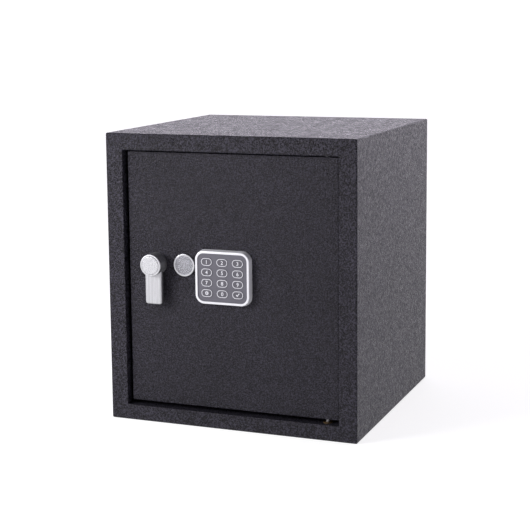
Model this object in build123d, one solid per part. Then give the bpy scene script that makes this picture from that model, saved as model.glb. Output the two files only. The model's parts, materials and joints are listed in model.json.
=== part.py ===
from build123d import *
from math import radians, tan
import os

# In-room safe: a floor-standing sheet steel cabinet with one hinged front door that
# carries a lever knob, a capped emergency key lock and a twelve-key electronic keypad.
# Millimetres. +X is to the right seen from the front, +Y runs to the back, +Z is up.
# The origin is the centre of the base fixing holes, on the underside of the floor.

# Cabinet
WIDTH = 350.0
DEPTH = 340.0
HEIGHT = 390.0
SHEET = 2.0
OUTER_EDGE_R = 2.0
MOUTH_EDGE_R = 1.2
HALF_W = WIDTH / 2
FRONT_Y = -DEPTH / 2
BACK_Y = DEPTH / 2
OPENING_HALF_W = 150.5
OPENING_Z = (21.0, 367.5)
BOLT_LIP_DEPTH = 12.0
HINGE_LIP_DEPTH = 9.0
SILL_DEPTH = 24.0
BACK_PANEL_GAP = 0.1
FIXING_HOLE_R = 6.0
BASE_FIXING = (200.0, 180.0)
BACK_FIXING_SPACING = 200.0
BACK_FIXING_Z = 300.0
MAT_X = (-165.0, 165.0)
MAT_Y = (-140.0, 160.0)
MAT_T = 3.0
MAT_CORNER_R = 6.0
MAT_HOLE_R = 9.0
CUT = 1.0
HEX = 6

# Door panel
DOOR_Y = (-164.0, -160.0)
DOOR_X = (-145.5, 148.8)
DOOR_Z = (26.8, 365.8)
DOOR_EDGE_R = 0.8
DOOR_CORNER_R = 1.5
FIT = 0.02
RUN = 0.05

# Hinge
HINGE_X = 131.5
HINGE_Y = -156.0
HINGE_PIN_R = 3.0
BUSH_R = 4.0
BUSH_FLANGE_R = 6.5
BUSH_FLANGE_T = 1.0
BUSH_FLOOR = 1.0
BUSH_BELOW_SILL = 5.0
PIN_END_GAP = 0.3
HINGE_PLATE = (40.0, 18.0, 3.0)
HINGE_BLOCK_X = (120.0, 143.0)
HINGE_BLOCK_Y = (-160.0, -150.0)
HINGE_BLOCK_H = 18.0
HINGE_BLOCK_EDGE_R = 1.0
HINGE_PIN_SHORT = 0.8

# Lever knob and its spindle
KNOB_X = -105.1
KNOB_Z = 217.5
KNOB_R = 14.75
KNOB_Y = (-185.6, -164.5)
KNOB_EDGE_R = 1.0
LEVER_W = 23.5
LEVER_Y = (-177.5, -171.5)
LEVER_END_Z = 164.2
LEVER_CORNER_R = 3.5
LEVER_EDGE_R = 1.6
CAP_R = 11.8
CAP_Y = (-186.0, -184.2)
CAP_GAP = 0.35
CAP_EDGE_R = 0.4
SPINDLE_R = 5.0
SPINDLE_SQ = 7.0
SPINDLE_FRONT_Y = -180.0
SPINDLE_JOURNAL_Y = (-164.4, -144.0)
SPINDLE_SQ_BACK_Y = -139.8
SPINDLE_NECK_R = 2.8
SPINDLE_NECK_Y = -138.6
SPINDLE_END_Y = -137.6
SPINDLE_END_R = 3.4
SPINDLE_BUSH_R = 7.0
SPINDLE_BUSH_FLANGE = (10.0, 3.0)
CLIP_R = 6.2
CLIP_Y = (-139.7, -138.7)
CLIP_MOUTH = 4.0
CAM_Y = (-144.0, -140.0)
CAM_HUB_R = 9.0
CAM_LOBE_R = 6.0
CRANK_R = 11.3
CRANK_PIN_R = 3.0
CRANK_PIN_END_Y = -131.0
CRANK_START_DEG = -45.0

# Bolt work, drawn with the bolts held back; they move out along -X
BOLT_THROW = 16.0
BOLT_R = 9.0
BOLT_RUN = 0.08
BOLT_Y = -147.0
BOLT_Z = (167.5, 267.5)
BOLT_X = (-147.0, -104.5)
BOLT_NOSE_R = 2.0
TENON_R = 4.0
GUIDE_X = (-134.0, -131.0)
GUIDE_FOOT_X = -119.0
GUIDE_FOOT_T = 3.0
CARRIAGE_Y = (-136.0, -133.5)
CARRIAGE_T = 2.5
COLUMN_X = (-104.5, -70.5)
COLUMN_Z = (151.0, 284.0)
ARM_X = (-72.5, -32.5)
ARM_Z = (195.0, 231.0)
EAR_Y = -156.0
EAR_HALF = 12.0
CRANK_SLOT_HALF_W = 3.7
CRANK_SLOT_Z = (202.4, 213.3)
LUG_X = (-48.5, -46.5)
LUG_Y = -140.5
LUG_Z = (220.0, 227.0)
LUG_FOOT = 11.0
LUG_FOOT_T = 1.5
LUG_FOOT_Z = (220.0, 222.5)
POST_X = -96.5
POST_Z = (191.0, 244.0)
POST_BASE_R = 6.0
POST_SHOULDER_Y = -136.4
POST_NECK_R = 4.0
POST_END_Y = -130.5
POST_SLOT_RUN = 0.3
POST_CLIP_Y = (-133.0, -131.6)
POST_CLIP_R = 6.5

# Solenoid
SOL_X = -56.5
SOL_Y = -142.0
PLUNGER_R = 4.0
PLUNGER_Z = (228.0, 266.0)
COLLAR_Z = (233.0, 234.5)
COLLAR_R = 5.0
PLUNGER_TIP_R = 0.6
SOL_FRAME_HALF_W = 10.0
SOL_FRAME_Z = (241.0, 273.0)
SOL_FRAME_T = 2.0
SOL_FRAME_Y = (-152.0, -134.0)
SOL_FOOT_Z = (247.0, 267.0)
COIL_R = 8.0
COIL_BORE_R = 4.4
COIL_GAP = 0.2
BOBBIN_T = 1.5
WINDING_R = 7.2

# Emergency key lock
LOCK_X = -65.0
LOCK_Z = 217.0
LOCK_BODY_R = 9.5
LOCK_HEAD_R = 12.0
LOCK_HEAD_T = 1.0
LOCK_END_Y = -148.0
LOCK_NUT_Y = (-160.0, -156.0)
LOCK_NUT_AF = 24.0
PLUG_R = 6.0
PLUG_END_Y = -146.0
PLUG_SQ = 5.0
PLUG_SQ_END_Y = -142.6
KEYWAY = (1.8, 7.4)
KEYWAY_DEPTH = 14.0
KEY_CAM_Y = (-146.0, -143.0)
KEY_CAM_HUB_R = 5.0
KEY_CAM_ARM_L = 9.8
KEY_CAM_ARM_R = 3.0
KEY_CAM_START_DEG = -39.0
COVER_CAP_R = 15.0
COVER_CAP_Y = (-166.5, -164.0)
COVER_CAP_INNER_R = 13.0
COVER_CAP_FACE_T = 1.2
COVER_CAP_RIM_W = 2.0
COVER_CAP_RIM_STEP = 0.3
COVER_CAP_EDGE_R = 0.6

# Keypad
PAD_X = -8.4
PAD_Z = 203.7
BEZEL_SIZE = (76.0, 70.0)
BEZEL_R = 12.0
BEZEL_RIM = 3.0
BEZEL_Y = (-172.0, -164.0)
BEZEL_BASE_T = 1.2
BEZEL_EDGE_R = 1.2
BEZEL_DRAFT_DEG = 9.0
BEZEL_WINDOW = (40.0, 30.0)
STUD_OFFSET = (27.0, 26.0)
STUD_R = 1.5
STUD_HOLE_R = 1.7
STUD_END_Y = -155.5
STUD_NUT_T = 2.4
STUD_NUT_AF = 5.5
CABLE_HOLE_R = 6.0
FACE_GAP = 0.1
FACE_Y = (-171.0, -169.8)
KEY_SIZE = (15.5, 10.3)
KEY_R = 5.0
KEY_PITCH = (21.9, 13.8)
KEY_ROWS = (1.5, 0.5, -0.5, -1.5)
KEY_GAP = 0.3
KEY_FRONT_Y = -171.6
KEY_FLANGE_Y = (-169.4, -168.3)
KEY_FLANGE = 0.8
KEY_EDGE_R = 0.3
PAD_MAT_Y = (-167.2, -166.7)
PAD_BOARD_Y = (-166.6, -165.3)
PAD_INNER_GAP = 0.5

# Lock cover on the back of the door
COVER_X = (-134.0, 60.0)
COVER_Z = (120.0, 300.0)
COVER_BACK_Y = -118.0
COVER_T = 1.2
COVER_FLANGE = 10.0
COVER_SCREW_X = (-105.0, 45.0)
COVER_SCREW_OFFSET = 5.0
SCREW_R = 2.0
SCREW_HEAD_R = 3.8
SCREW_HEAD_T = 2.2
SCREW_DEPTH = 3.0
SCREW_RECESS_R = 1.6
SCREW_RECESS_D = 1.2

# Batteries
CELLS = 4
CELL_R = 7.2
CELL_Z = (129.5, 178.6)
CELL_NUB_R = 2.7
CELL_NUB_H = 1.4
CELL_PITCH = 15.4
CELL_Y = -128.6
CELL_EDGE_R = 0.6
HOLDER_X = (-32.0, 32.0)
HOLDER_Y = (-137.5, -119.2)
HOLDER_Z = (126.0, 184.0)
HOLDER_WALL = 1.2
HOLDER_RIB_H = 4.0
HOLDER_RIB_T = 0.6
LID_X = (-34.0, 34.0)
LID_Y = (-117.7, -116.2)
LID_Z = (124.0, 187.0)
LID_GRIP_Z = (168.0, 172.0, 176.0)
LID_GRIP = (24.0, 0.8, 1.6)
RAIL_GAP = 0.4
RAIL_T = 1.2
RAIL_TOP_Y = -114.6
RAIL_LIP = 1.8
LEDGE_T = 2.0
LEDGE_TOP_Y = -115.5
HATCH_MARGIN = 2.0

# Control board and reset button
BOARD_X = (-28.0, 56.0)
BOARD_Z = (205.0, 292.0)
BOARD_Y = (-150.0, -148.4)
BOARD_HOLE_INSET = 4.0
BOARD_HOLE_R = 1.7
STANDOFF_R = 3.0
STANDOFF_PIN_R = 1.6
STANDOFF_SEAT = 2.0
STANDOFF_CLIP = (2.2, 0.2, 2.0)
RESET_X = 44.0
RESET_Z = 262.0
RESET_R = 3.5
RESET_HOLE_R = 4.0
RESET_Y = (-141.0, -116.6)
RESET_HEAD_R = 0.8
SWITCH = (12.0, 12.0, 5.4)
CHIP = (14.0, 14.0, 2.0)
CHIP_AT = (8.0, 262.0)
BUZZER_R = 6.0
BUZZER_H = 7.0
BUZZER_AT = (-14.0, 276.0)
SOCKET = (6.0, 14.0, 8.0)
SOCKET_AT = (-20.0, 222.0)
CAPACITOR_R = 4.0
CAPACITOR_H = 8.5
CAPACITOR_AT = (26.0, 228.0)


def block(x_range, y_range, z_range):
    """Box between a low and a high limit on each axis."""
    ranges = (x_range, y_range, z_range)
    centre = [(low + high) / 2 for low, high in ranges]
    return Pos(*centre) * Box(*[high - low for low, high in ranges])


def rod_x(x_range, y, z, radius):
    """Round bar along X."""
    middle = Pos(sum(x_range) / 2, y, z)
    return middle * Rot(Y=90) * Cylinder(radius, x_range[1] - x_range[0])


def rod_y(x, y_range, z, radius):
    """Round bar along Y."""
    middle = Pos(x, sum(y_range) / 2, z)
    return middle * Rot(X=90) * Cylinder(radius, y_range[1] - y_range[0])


def rod_z(x, y, z_range, radius):
    """Round bar along Z."""
    return Pos(x, y, sum(z_range) / 2) * Cylinder(radius, z_range[1] - z_range[0])


def prism_y(profile, y_range):
    """Profile drawn in (x, z), carried from the low to the high y."""
    face = Pos(0, y_range[1], 0) * (Plane.XZ * profile)
    return extrude(face, amount=y_range[1] - y_range[0])


def square_bar(x, y_range, z, side):
    """Square bar along Y."""
    return block((x - side / 2, x + side / 2), y_range, (z - side / 2, z + side / 2))


def front_edges(solid):
    """Edges of the face nearest the front."""
    return solid.faces().sort_by(Axis.Y)[0].edges()


# ---------------------------------------------------------------- cabinet


def base_fixing_points():
    """Centres of the four base fixing holes."""
    half_x, half_y = BASE_FIXING[0] / 2, BASE_FIXING[1] / 2
    return [(x, y) for x in (-half_x, half_x) for y in (-half_y, half_y)]


def rounded_box(y_range):
    """Cabinet-size box between two y limits with its four long edges rounded."""
    outer = block((-HALF_W, HALF_W), y_range, (0, HEIGHT))
    return fillet(outer.edges().filter_by(Axis.Y), OUTER_EDGE_R)


def make_cabinet_shell():
    """Wrapped sheet body: floor, sides and roof, open at the front and the back."""
    start = FRONT_Y + SHEET
    inner_half = HALF_W - SHEET
    inner_y = (start - CUT, BACK_Y + CUT)
    shell = rounded_box((start, BACK_Y))
    shell -= block((-inner_half, inner_half), inner_y, (SHEET, HEIGHT - SHEET))
    for x, y in base_fixing_points():
        shell -= rod_z(x, y, (-CUT, SHEET + CUT), FIXING_HOLE_R)
    return shell


def make_front_frame():
    """Frame plate welded to the front of the wrap, with lips folded in round the door."""
    frame = rounded_box((FRONT_Y, FRONT_Y + SHEET))
    frame = fillet(front_edges(frame), OUTER_EDGE_R - FIT)
    mouth_y = (FRONT_Y - CUT, FRONT_Y + SHEET + CUT)
    frame -= block((-OPENING_HALF_W, OPENING_HALF_W), mouth_y, OPENING_Z)
    for lip in frame_lips():
        frame += lip
    mouth_edges = front_edges(frame).filter_by(lambda edge: touches_mouth(edge))
    frame = fillet(mouth_edges, MOUTH_EDGE_R)
    for z_range in (sill_range(0), sill_range(1)):
        frame -= rod_z(HINGE_X, HINGE_Y, (z_range[0] - CUT, z_range[1] + CUT), BUSH_R + FIT)
    return frame


def touches_mouth(edge):
    """True for the edges of the front face that bound the door opening."""
    middle = edge.center()
    inside_x = abs(middle.X) < OPENING_HALF_W + CUT
    return inside_x and OPENING_Z[0] - CUT < middle.Z < OPENING_Z[1] + CUT


def sill_range(upper):
    """Z limits of the lower (0) or the upper (1) frame return."""
    if upper:
        return (OPENING_Z[1], OPENING_Z[1] + SHEET)
    return (OPENING_Z[0] - SHEET, OPENING_Z[0])


def frame_lips():
    """The four returns folded in around the door opening."""
    lip_x = OPENING_HALF_W + SHEET
    start = FRONT_Y + SHEET / 2
    sill_y = (start, FRONT_Y + SILL_DEPTH)
    tall_z = (OPENING_Z[0] - SHEET, OPENING_Z[1] + SHEET)
    left = block((-lip_x, -OPENING_HALF_W), (start, FRONT_Y + BOLT_LIP_DEPTH), tall_z)
    right = block((OPENING_HALF_W, lip_x), (start, FRONT_Y + HINGE_LIP_DEPTH), tall_z)
    lower = block((-lip_x, lip_x), sill_y, sill_range(0))
    upper = block((-lip_x, lip_x), sill_y, sill_range(1))
    return [left, right, lower, upper]


def make_back_panel():
    """Flat sheet set inside the rear edge of the wrap, with two wall fixing holes."""
    half_w = HALF_W - SHEET - BACK_PANEL_GAP
    z_range = (SHEET + BACK_PANEL_GAP, HEIGHT - SHEET - BACK_PANEL_GAP)
    panel = block((-half_w, half_w), (BACK_Y - SHEET, BACK_Y), z_range)
    hole_y = (BACK_Y - SHEET - CUT, BACK_Y + CUT)
    for x in (-BACK_FIXING_SPACING / 2, BACK_FIXING_SPACING / 2):
        panel -= rod_y(x, hole_y, BACK_FIXING_Z, FIXING_HOLE_R)
    return panel


def make_floor_mat():
    """Felt mat on the floor, cut clear of the base fixing holes."""
    middle_y = sum(MAT_Y) / 2
    outline = RectangleRounded(MAT_X[1] - MAT_X[0], MAT_Y[1] - MAT_Y[0], MAT_CORNER_R)
    mat = Pos(0, middle_y, SHEET) * extrude(outline, amount=MAT_T)
    for x, y in base_fixing_points():
        mat -= rod_z(x, y, (0, SHEET + MAT_T + CUT), MAT_HOLE_R)
    return mat


def hinge_plate(upper):
    """Doubler plate welded to the hidden side of a sill at the hinge."""
    half_x, half_y = HINGE_PLATE[0] / 2, HINGE_PLATE[1] / 2
    sill = sill_range(upper)
    if upper:
        z_range = (sill[1], sill[1] + HINGE_PLATE[2])
    else:
        z_range = (sill[0] - HINGE_PLATE[2], sill[0])
    plate = block((HINGE_X - half_x, HINGE_X + half_x),
                  (HINGE_Y - half_y, HINGE_Y + half_y), z_range)
    return plate - rod_z(HINGE_X, HINGE_Y, (z_range[0] - CUT, z_range[1] + CUT), BUSH_R + FIT)


def make_hinge_plates():
    """The lower and the upper doubler plate."""
    return Compound(children=[hinge_plate(upper).solid() for upper in (0, 1)])


def make_hinge_bush_lower():
    """Closed flanged bush that carries the end of the lower pin."""
    top = OPENING_Z[0]
    bottom = top - SHEET - BUSH_BELOW_SILL
    bush = rod_z(HINGE_X, HINGE_Y, (bottom, top), BUSH_R)
    bush += rod_z(HINGE_X, HINGE_Y, (top, top + BUSH_FLANGE_T), BUSH_FLANGE_R)
    bore = (bottom + BUSH_FLOOR, top + BUSH_FLANGE_T + CUT)
    return bush - rod_z(HINGE_X, HINGE_Y, bore, HINGE_PIN_R + RUN)


def make_hinge_bush_upper():
    """Plain bush that guides the upper pin."""
    bottom = OPENING_Z[1]
    top = bottom + SHEET + BUSH_BELOW_SILL
    bush = rod_z(HINGE_X, HINGE_Y, (bottom, top), BUSH_R)
    return bush - rod_z(HINGE_X, HINGE_Y, (bottom - CUT, top + CUT), HINGE_PIN_R + RUN)


# ---------------------------------------------------------------- door


def hinge_block_range(upper):
    """Z limits of a hinge block."""
    if upper:
        return (DOOR_Z[1] - HINGE_BLOCK_H, DOOR_Z[1])
    return (DOOR_Z[0], DOOR_Z[0] + HINGE_BLOCK_H)


def hinge_block(upper):
    """Steel block welded to the back of the door, bored for a hinge pin."""
    z_range = hinge_block_range(upper)
    body = block(HINGE_BLOCK_X, HINGE_BLOCK_Y, z_range)
    rear = body.faces().sort_by(Axis.Y)[-1].edges().filter_by(Axis.Z)
    body = fillet(rear, HINGE_BLOCK_EDGE_R)
    return body - rod_z(HINGE_X, HINGE_Y, (z_range[0] - CUT, z_range[1] + CUT),
                        HINGE_PIN_R + FIT)


def make_hinge_blocks():
    """The lower and the upper hinge block."""
    return Compound(children=[hinge_block(upper).solid() for upper in (0, 1)])


def make_hinge_pin(upper):
    """Plain dowel pin fixed in a hinge block and turning in its bush."""
    z_range = hinge_block_range(upper)
    if upper:
        low = z_range[0] + HINGE_PIN_SHORT
        high = OPENING_Z[1] + SHEET + BUSH_BELOW_SILL - HINGE_PIN_SHORT
    else:
        low = OPENING_Z[0] - SHEET - BUSH_BELOW_SILL + BUSH_FLOOR + PIN_END_GAP
        high = z_range[1] - HINGE_PIN_SHORT
    pin = rod_z(HINGE_X, HINGE_Y, (low, high), HINGE_PIN_R)
    return chamfer(pin.edges().filter_by(GeomType.CIRCLE), PIN_END_GAP)


def stud_points():
    """Centres of the four keypad studs."""
    return [(PAD_X + sx * STUD_OFFSET[0], PAD_Z + sz * STUD_OFFSET[1])
            for sx in (-1, 1) for sz in (-1, 1)]


def board_points():
    """Centres of the four control board fixings."""
    inset = BOARD_HOLE_INSET
    return [(x, z) for x in (BOARD_X[0] + inset, BOARD_X[1] - inset)
            for z in (BOARD_Z[0] + inset, BOARD_Z[1] - inset)]


def cover_screw_points():
    """Centres of the four lock cover screws."""
    rows = (COVER_Z[0] - COVER_SCREW_OFFSET, COVER_Z[1] + COVER_SCREW_OFFSET)
    return [(x, z) for x in COVER_SCREW_X for z in rows]


def make_door_panel():
    """Plate door with the lock, keypad, cover and control board holes."""
    width, height = DOOR_X[1] - DOOR_X[0], DOOR_Z[1] - DOOR_Z[0]
    outline = Pos(sum(DOOR_X) / 2, sum(DOOR_Z) / 2) * RectangleRounded(width, height,
                                                                       DOOR_CORNER_R)
    panel = prism_y(outline, DOOR_Y)
    panel = fillet(front_edges(panel), DOOR_EDGE_R)
    through = (DOOR_Y[0] - CUT, DOOR_Y[1] + CUT)
    panel -= rod_y(KNOB_X, through, KNOB_Z, SPINDLE_BUSH_R + FIT)
    panel -= rod_y(LOCK_X, through, LOCK_Z, LOCK_BODY_R + FIT)
    panel -= rod_y(PAD_X, through, PAD_Z, CABLE_HOLE_R)
    for x, z in stud_points():
        panel -= rod_y(x, through, z, STUD_HOLE_R)
    for x, z in cover_screw_points():
        panel -= rod_y(x, (DOOR_Y[1] - SCREW_DEPTH, through[1]), z, SCREW_R + FIT)
    for x, z in board_points():
        panel -= rod_y(x, (DOOR_Y[1] - STANDOFF_SEAT, through[1]), z, STANDOFF_PIN_R + FIT)
    return panel


def make_spindle_bush():
    """Flanged bush for the knob spindle."""
    flange_r, flange_t = SPINDLE_BUSH_FLANGE
    bush = rod_y(KNOB_X, DOOR_Y, KNOB_Z, SPINDLE_BUSH_R)
    bush += rod_y(KNOB_X, (DOOR_Y[1], DOOR_Y[1] + flange_t), KNOB_Z, flange_r)
    bore = (DOOR_Y[0] - CUT, DOOR_Y[1] + flange_t + CUT)
    return bush - rod_y(KNOB_X, bore, KNOB_Z, SPINDLE_R + RUN)


def make_bolt_guide():
    """End wall of the lock case, bored for the two bolts, with a foot on the door."""
    wall_y = (DOOR_Y[1], COVER_BACK_Y - COVER_T)
    wall_z = (COVER_Z[0] + COVER_T, COVER_Z[1] - COVER_T)
    guide = block(GUIDE_X, wall_y, wall_z)
    guide += block((GUIDE_X[0], GUIDE_FOOT_X), (DOOR_Y[1], DOOR_Y[1] + GUIDE_FOOT_T), wall_z)
    for z in BOLT_Z:
        guide -= rod_x((GUIDE_X[0] - CUT, GUIDE_X[1] + CUT), BOLT_Y, z, BOLT_R + BOLT_RUN)
    return guide


def make_guide_posts():
    """Two shoulder studs on the door that keep the bolt carriage level."""
    posts = []
    for z in POST_Z:
        post = rod_y(POST_X, (DOOR_Y[1], POST_SHOULDER_Y), z, POST_BASE_R)
        post += rod_y(POST_X, (POST_SHOULDER_Y - CUT, POST_END_Y), z, POST_NECK_R)
        posts.append(post.solid())
    return Compound(children=posts)


def ring_clip(x, z, y_range, inner_r, outer_r):
    """Open spring clip around a shaft along Y, mouth downwards."""
    ring = rod_y(x, y_range, z, outer_r)
    wide = (y_range[0] - CUT, y_range[1] + CUT)
    ring -= rod_y(x, wide, z, inner_r)
    half = CLIP_MOUTH / 2
    return ring - block((x - half, x + half), wide, (z - outer_r - CUT, z))


def make_post_clips():
    """Two spring clips that keep the carriage on its posts."""
    clips = [ring_clip(POST_X, z, POST_CLIP_Y, POST_NECK_R + FIT, POST_CLIP_R) for z in POST_Z]
    return Compound(children=[clip.solid() for clip in clips])


# ---------------------------------------------------------------- knob


def make_knob_body():
    """Round barrel with a flat lever tail standing clear of the door."""
    barrel = rod_y(KNOB_X, KNOB_Y, KNOB_Z, KNOB_R)
    barrel = fillet(front_edges(barrel), KNOB_EDGE_R)
    outline = Pos(KNOB_X, (LEVER_END_Z + KNOB_Z) / 2) * Rectangle(LEVER_W, KNOB_Z - LEVER_END_Z)
    low_corners = outline.vertices().sort_by(Axis.Y)[:2]
    lever = prism_y(fillet(low_corners, LEVER_CORNER_R), LEVER_Y)
    lever = fillet(front_edges(lever), LEVER_EDGE_R)
    knob = barrel + lever
    knob -= rod_y(KNOB_X, (CAP_Y[0] - CUT, CAP_Y[1]), KNOB_Z, CAP_R + CAP_GAP)
    socket = (SPINDLE_FRONT_Y - CUT, KNOB_Y[1] + CUT)
    return knob - square_bar(KNOB_X, socket, KNOB_Z, SPINDLE_SQ + 2 * FIT)


def make_knob_cap():
    """Plain disc set in the end of the barrel."""
    cap = rod_y(KNOB_X, CAP_Y, KNOB_Z, CAP_R)
    return fillet(front_edges(cap), CAP_EDGE_R)


def make_knob_spindle():
    """Shaft through the door, squared at both ends, with a clip neck."""
    shaft = square_bar(KNOB_X, (SPINDLE_FRONT_Y, SPINDLE_JOURNAL_Y[0]), KNOB_Z, SPINDLE_SQ)
    shaft += rod_y(KNOB_X, SPINDLE_JOURNAL_Y, KNOB_Z, SPINDLE_R)
    square_y = (SPINDLE_JOURNAL_Y[1], SPINDLE_SQ_BACK_Y)
    shaft += square_bar(KNOB_X, square_y, KNOB_Z, SPINDLE_SQ)
    shaft += rod_y(KNOB_X, (SPINDLE_SQ_BACK_Y, SPINDLE_NECK_Y), KNOB_Z, SPINDLE_NECK_R)
    return shaft + rod_y(KNOB_X, (SPINDLE_NECK_Y, SPINDLE_END_Y), KNOB_Z, SPINDLE_END_R)


def make_spindle_clip():
    """Spring clip behind the drive cam."""
    return ring_clip(KNOB_X, KNOB_Z, CLIP_Y, SPINDLE_NECK_R + FIT, CLIP_R)


def make_drive_cam():
    """Crank on the spindle whose pin drives the bolt carriage."""
    pin_at = Pos(KNOB_X, KNOB_Z) * Rot(Z=CRANK_START_DEG) * Pos(CRANK_R, 0)
    hub = Pos(KNOB_X, KNOB_Z) * Circle(CAM_HUB_R)
    lobe = pin_at * Circle(CAM_LOBE_R)
    profile = make_hull(hub.edges() + lobe.edges())
    cam = prism_y(profile, CAM_Y)
    cam += prism_y(pin_at * Circle(CRANK_PIN_R), (CAM_Y[1], CRANK_PIN_END_Y))
    bore = (CAM_Y[0] - CUT, CAM_Y[1] + CUT)
    return cam - square_bar(KNOB_X, bore, KNOB_Z, SPINDLE_SQ + 2 * FIT)


# ---------------------------------------------------------------- bolt work


def make_bolt(z):
    """Round locking bolt with a bevelled nose and a riveting tenon."""
    bolt = rod_x(BOLT_X, BOLT_Y, z, BOLT_R)
    nose = bolt.edges().filter_by(GeomType.CIRCLE).sort_by(Axis.X)[0]
    bolt = chamfer(nose, BOLT_NOSE_R)
    return bolt + rod_x((BOLT_X[1], BOLT_X[1] + CARRIAGE_T), BOLT_Y, z, TENON_R)


def slot_profile(x_range, z_range, half_w):
    """Round-ended slot between two end limits along its longer side."""
    width, height = x_range[1] - x_range[0], z_range[1] - z_range[0]
    middle = Pos(sum(x_range) / 2, sum(z_range) / 2)
    return middle * RectangleRounded(width, height, half_w - FIT)


def make_bolt_carriage():
    """Folded plate that carries both bolts, driven sideways by the crank pin."""
    plate = block(COLUMN_X, CARRIAGE_Y, COLUMN_Z) + block(ARM_X, CARRIAGE_Y, ARM_Z)
    for z in BOLT_Z:
        ear_x = (COLUMN_X[0], COLUMN_X[0] + CARRIAGE_T)
        plate += block(ear_x, (EAR_Y, CARRIAGE_Y[1]), (z - EAR_HALF, z + EAR_HALF))
        hole_x = (COLUMN_X[0] - CUT, COLUMN_X[0] + CARRIAGE_T + CUT)
        plate -= rod_x(hole_x, BOLT_Y, z, TENON_R + FIT)
    through = (CARRIAGE_Y[0] - CUT, CARRIAGE_Y[1] + CUT)
    crank_x = crank_rest_x()
    crank_slot = slot_profile((crank_x - CRANK_SLOT_HALF_W, crank_x + CRANK_SLOT_HALF_W),
                              CRANK_SLOT_Z, CRANK_SLOT_HALF_W)
    plate -= prism_y(crank_slot, through)
    half = POST_NECK_R + POST_SLOT_RUN
    for z in POST_Z:
        slot_x = (POST_X - half, POST_X + half + BOLT_THROW)
        plate -= prism_y(slot_profile(slot_x, (z - half, z + half), half), through)
    return plate


def make_stop_bracket():
    """Small angle on the front of the carriage whose tab the plunger drops behind."""
    front = CARRIAGE_Y[0]
    tab = block(LUG_X, (LUG_Y, front), LUG_Z)
    return tab + block((LUG_X[0], LUG_X[0] + LUG_FOOT), (front - LUG_FOOT_T, front), LUG_FOOT_Z)


def crank_rest_x():
    """X of the crank pin with the bolts held back."""
    pin = Pos(KNOB_X, 0, KNOB_Z) * Rot(Y=-CRANK_START_DEG) * Pos(CRANK_R, 0, 0)
    return pin.position.X


# ---------------------------------------------------------------- solenoid


def make_solenoid_frame():
    """Folded steel frame of the locking solenoid, with a foot on the door."""
    half = SOL_FRAME_HALF_W
    x_range = (SOL_X - half, SOL_X + half)
    low, high = SOL_FRAME_Z
    frame = block(x_range, (SOL_FRAME_Y[0], SOL_FRAME_Y[0] + SOL_FRAME_T), SOL_FRAME_Z)
    frame += block(x_range, SOL_FRAME_Y, (low, low + SOL_FRAME_T))
    frame += block(x_range, SOL_FRAME_Y, (high - SOL_FRAME_T, high))
    frame += block(x_range, (DOOR_Y[1], SOL_FRAME_Y[0]), SOL_FOOT_Z)
    return frame - rod_z(SOL_X, SOL_Y, (low - CUT, low + SOL_FRAME_T + CUT), COIL_BORE_R)


def make_solenoid_coil():
    """Bobbin and winding of the solenoid."""
    low = SOL_FRAME_Z[0] + SOL_FRAME_T + COIL_GAP
    high = SOL_FRAME_Z[1] - SOL_FRAME_T - COIL_GAP
    coil = rod_z(SOL_X, SOL_Y, (low, high), WINDING_R)
    coil += rod_z(SOL_X, SOL_Y, (low, low + BOBBIN_T), COIL_R)
    coil += rod_z(SOL_X, SOL_Y, (high - BOBBIN_T, high), COIL_R)
    return coil - rod_z(SOL_X, SOL_Y, (low - CUT, high + CUT), COIL_BORE_R)


def make_solenoid_plunger():
    """Plunger that drops behind the tab of the stop bracket to block the bolts."""
    plunger = rod_z(SOL_X, SOL_Y, PLUNGER_Z, PLUNGER_R)
    ends = plunger.edges().filter_by(GeomType.CIRCLE)
    plunger = chamfer(ends, PLUNGER_TIP_R)
    return plunger + rod_z(SOL_X, SOL_Y, COLLAR_Z, COLLAR_R)


# ---------------------------------------------------------------- emergency key lock


def make_lock_housing():
    """Threaded barrel of the key lock with a thin head on the door face."""
    head_y = (DOOR_Y[0] - LOCK_HEAD_T, DOOR_Y[0])
    housing = rod_y(LOCK_X, (DOOR_Y[0], LOCK_END_Y), LOCK_Z, LOCK_BODY_R)
    housing += rod_y(LOCK_X, head_y, LOCK_Z, LOCK_HEAD_R)
    bore = (head_y[0] - CUT, LOCK_END_Y + CUT)
    return housing - rod_y(LOCK_X, bore, LOCK_Z, PLUG_R + RUN)


def make_lock_nut():
    """Thin hexagon nut clamping the key lock."""
    hexagon = RegularPolygon(LOCK_NUT_AF / 2, HEX, major_radius=False)
    nut = prism_y(Pos(LOCK_X, LOCK_Z) * hexagon, LOCK_NUT_Y)
    bore = (LOCK_NUT_Y[0] - CUT, LOCK_NUT_Y[1] + CUT)
    return nut - rod_y(LOCK_X, bore, LOCK_Z, LOCK_BODY_R + FIT)


def make_key_plug():
    """Turning plug with its keyway and a squared tail."""
    front = DOOR_Y[0] - LOCK_HEAD_T
    plug = rod_y(LOCK_X, (front, PLUG_END_Y), LOCK_Z, PLUG_R)
    plug += square_bar(LOCK_X, (PLUG_END_Y, PLUG_SQ_END_Y), LOCK_Z, PLUG_SQ)
    half_w, half_h = KEYWAY[0] / 2, KEYWAY[1] / 2
    return plug - block((LOCK_X - half_w, LOCK_X + half_w), (front - CUT, front + KEYWAY_DEPTH),
                        (LOCK_Z - half_h, LOCK_Z + half_h))


def make_key_cam():
    """Short arm on the plug that lifts the solenoid plunger."""
    at_axis = Pos(LOCK_X, LOCK_Z)
    hub = at_axis * Circle(KEY_CAM_HUB_R)
    tip = at_axis * Rot(Z=KEY_CAM_START_DEG) * Pos(KEY_CAM_ARM_L, 0) * Circle(KEY_CAM_ARM_R)
    cam = prism_y(make_hull(hub.edges() + tip.edges()), KEY_CAM_Y)
    bore = (KEY_CAM_Y[0] - CUT, KEY_CAM_Y[1] + CUT)
    return cam - square_bar(LOCK_X, bore, LOCK_Z, PLUG_SQ + 2 * FIT)


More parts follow.
